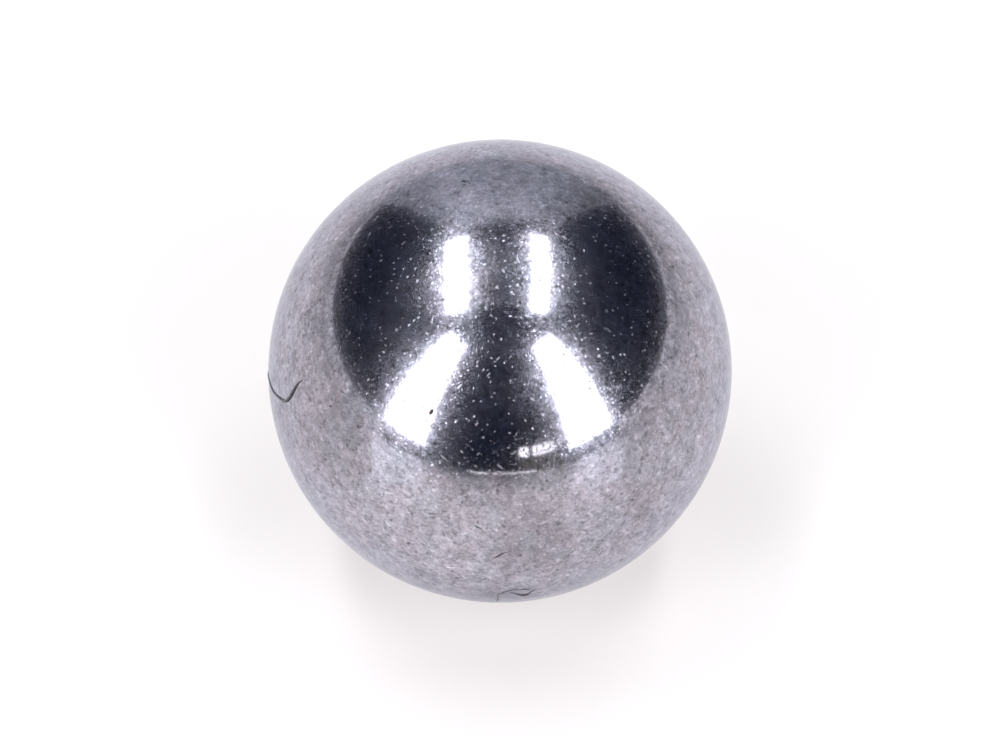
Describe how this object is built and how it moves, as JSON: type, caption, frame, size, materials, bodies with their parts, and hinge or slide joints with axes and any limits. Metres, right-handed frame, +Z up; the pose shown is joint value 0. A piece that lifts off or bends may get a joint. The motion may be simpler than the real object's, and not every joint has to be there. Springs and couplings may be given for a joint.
{
  "type": "steel ball",
  "caption": "Small solid steel ball with a lapped mirror surface, loose, for a bearing race, a detent or a check seat.",
  "frame": {"origin": "the ball's centre", "axes": "+Z up, away from what the ball lies on. The ball is the same about every axis, so X and Y have no feature of their own."},
  "size_m": [0.006, 0.006, 0.006],
  "materials": {
    "steel": "lapped to a mirror, with a fine grey bloom of pits and short scratches"
  },
  "bodies": {
    "root": {"ball": "steel"}
  },
  "joints": []
}
